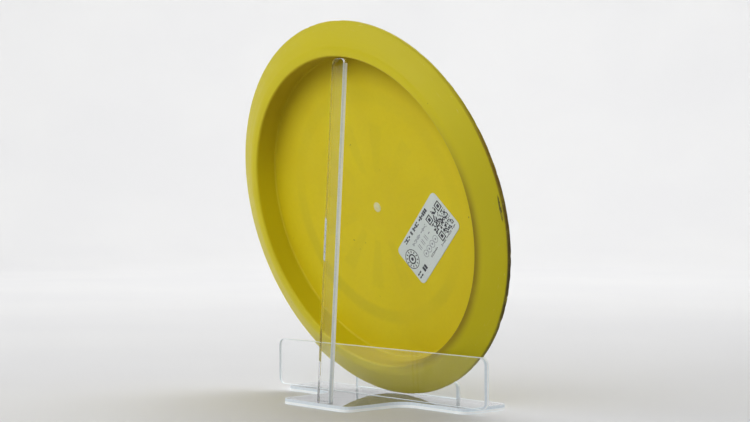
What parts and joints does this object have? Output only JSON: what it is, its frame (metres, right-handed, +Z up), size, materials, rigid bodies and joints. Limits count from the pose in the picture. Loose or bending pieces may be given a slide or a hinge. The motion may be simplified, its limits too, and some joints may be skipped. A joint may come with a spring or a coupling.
{
  "type": "golf disc in display stand",
  "caption": "Moulded golf disc leaning in a clear acrylic display stand, underside outwards, with a price label on its flight plate; the disc lifts off.",
  "frame": {"origin": "under the centre of the whole object's box, on the surface that the base plate stands on", "axes": "+Z up; +Y is the side that the disc's underside faces and the disc leans towards; X runs along the stand"},
  "size_m": [0.211, 0.073, 0.2074],
  "materials": {
    "disc_plastic": "yellow moulded plastic, satin, slightly translucent, used",
    "label_paper": "white matt thermal paper with dark print",
    "clear_acrylic": "clear polished sheet with sawn, whitish edges"
  },
  "bodies": {
    "stand": {"base_plate": "clear_acrylic", "spine_post": "clear_acrylic", "rear_ledge": "clear_acrylic", "front_lip": "clear_acrylic"},
    "disc": {"disc": "disc_plastic", "price_label": "label_paper"}
  },
  "joints": [
    {"name": "disc_lift", "type": "slide", "parent": "stand", "child": "disc", "axis": [0, 0, 1], "range_m": [0, 0.2]}
  ]
}
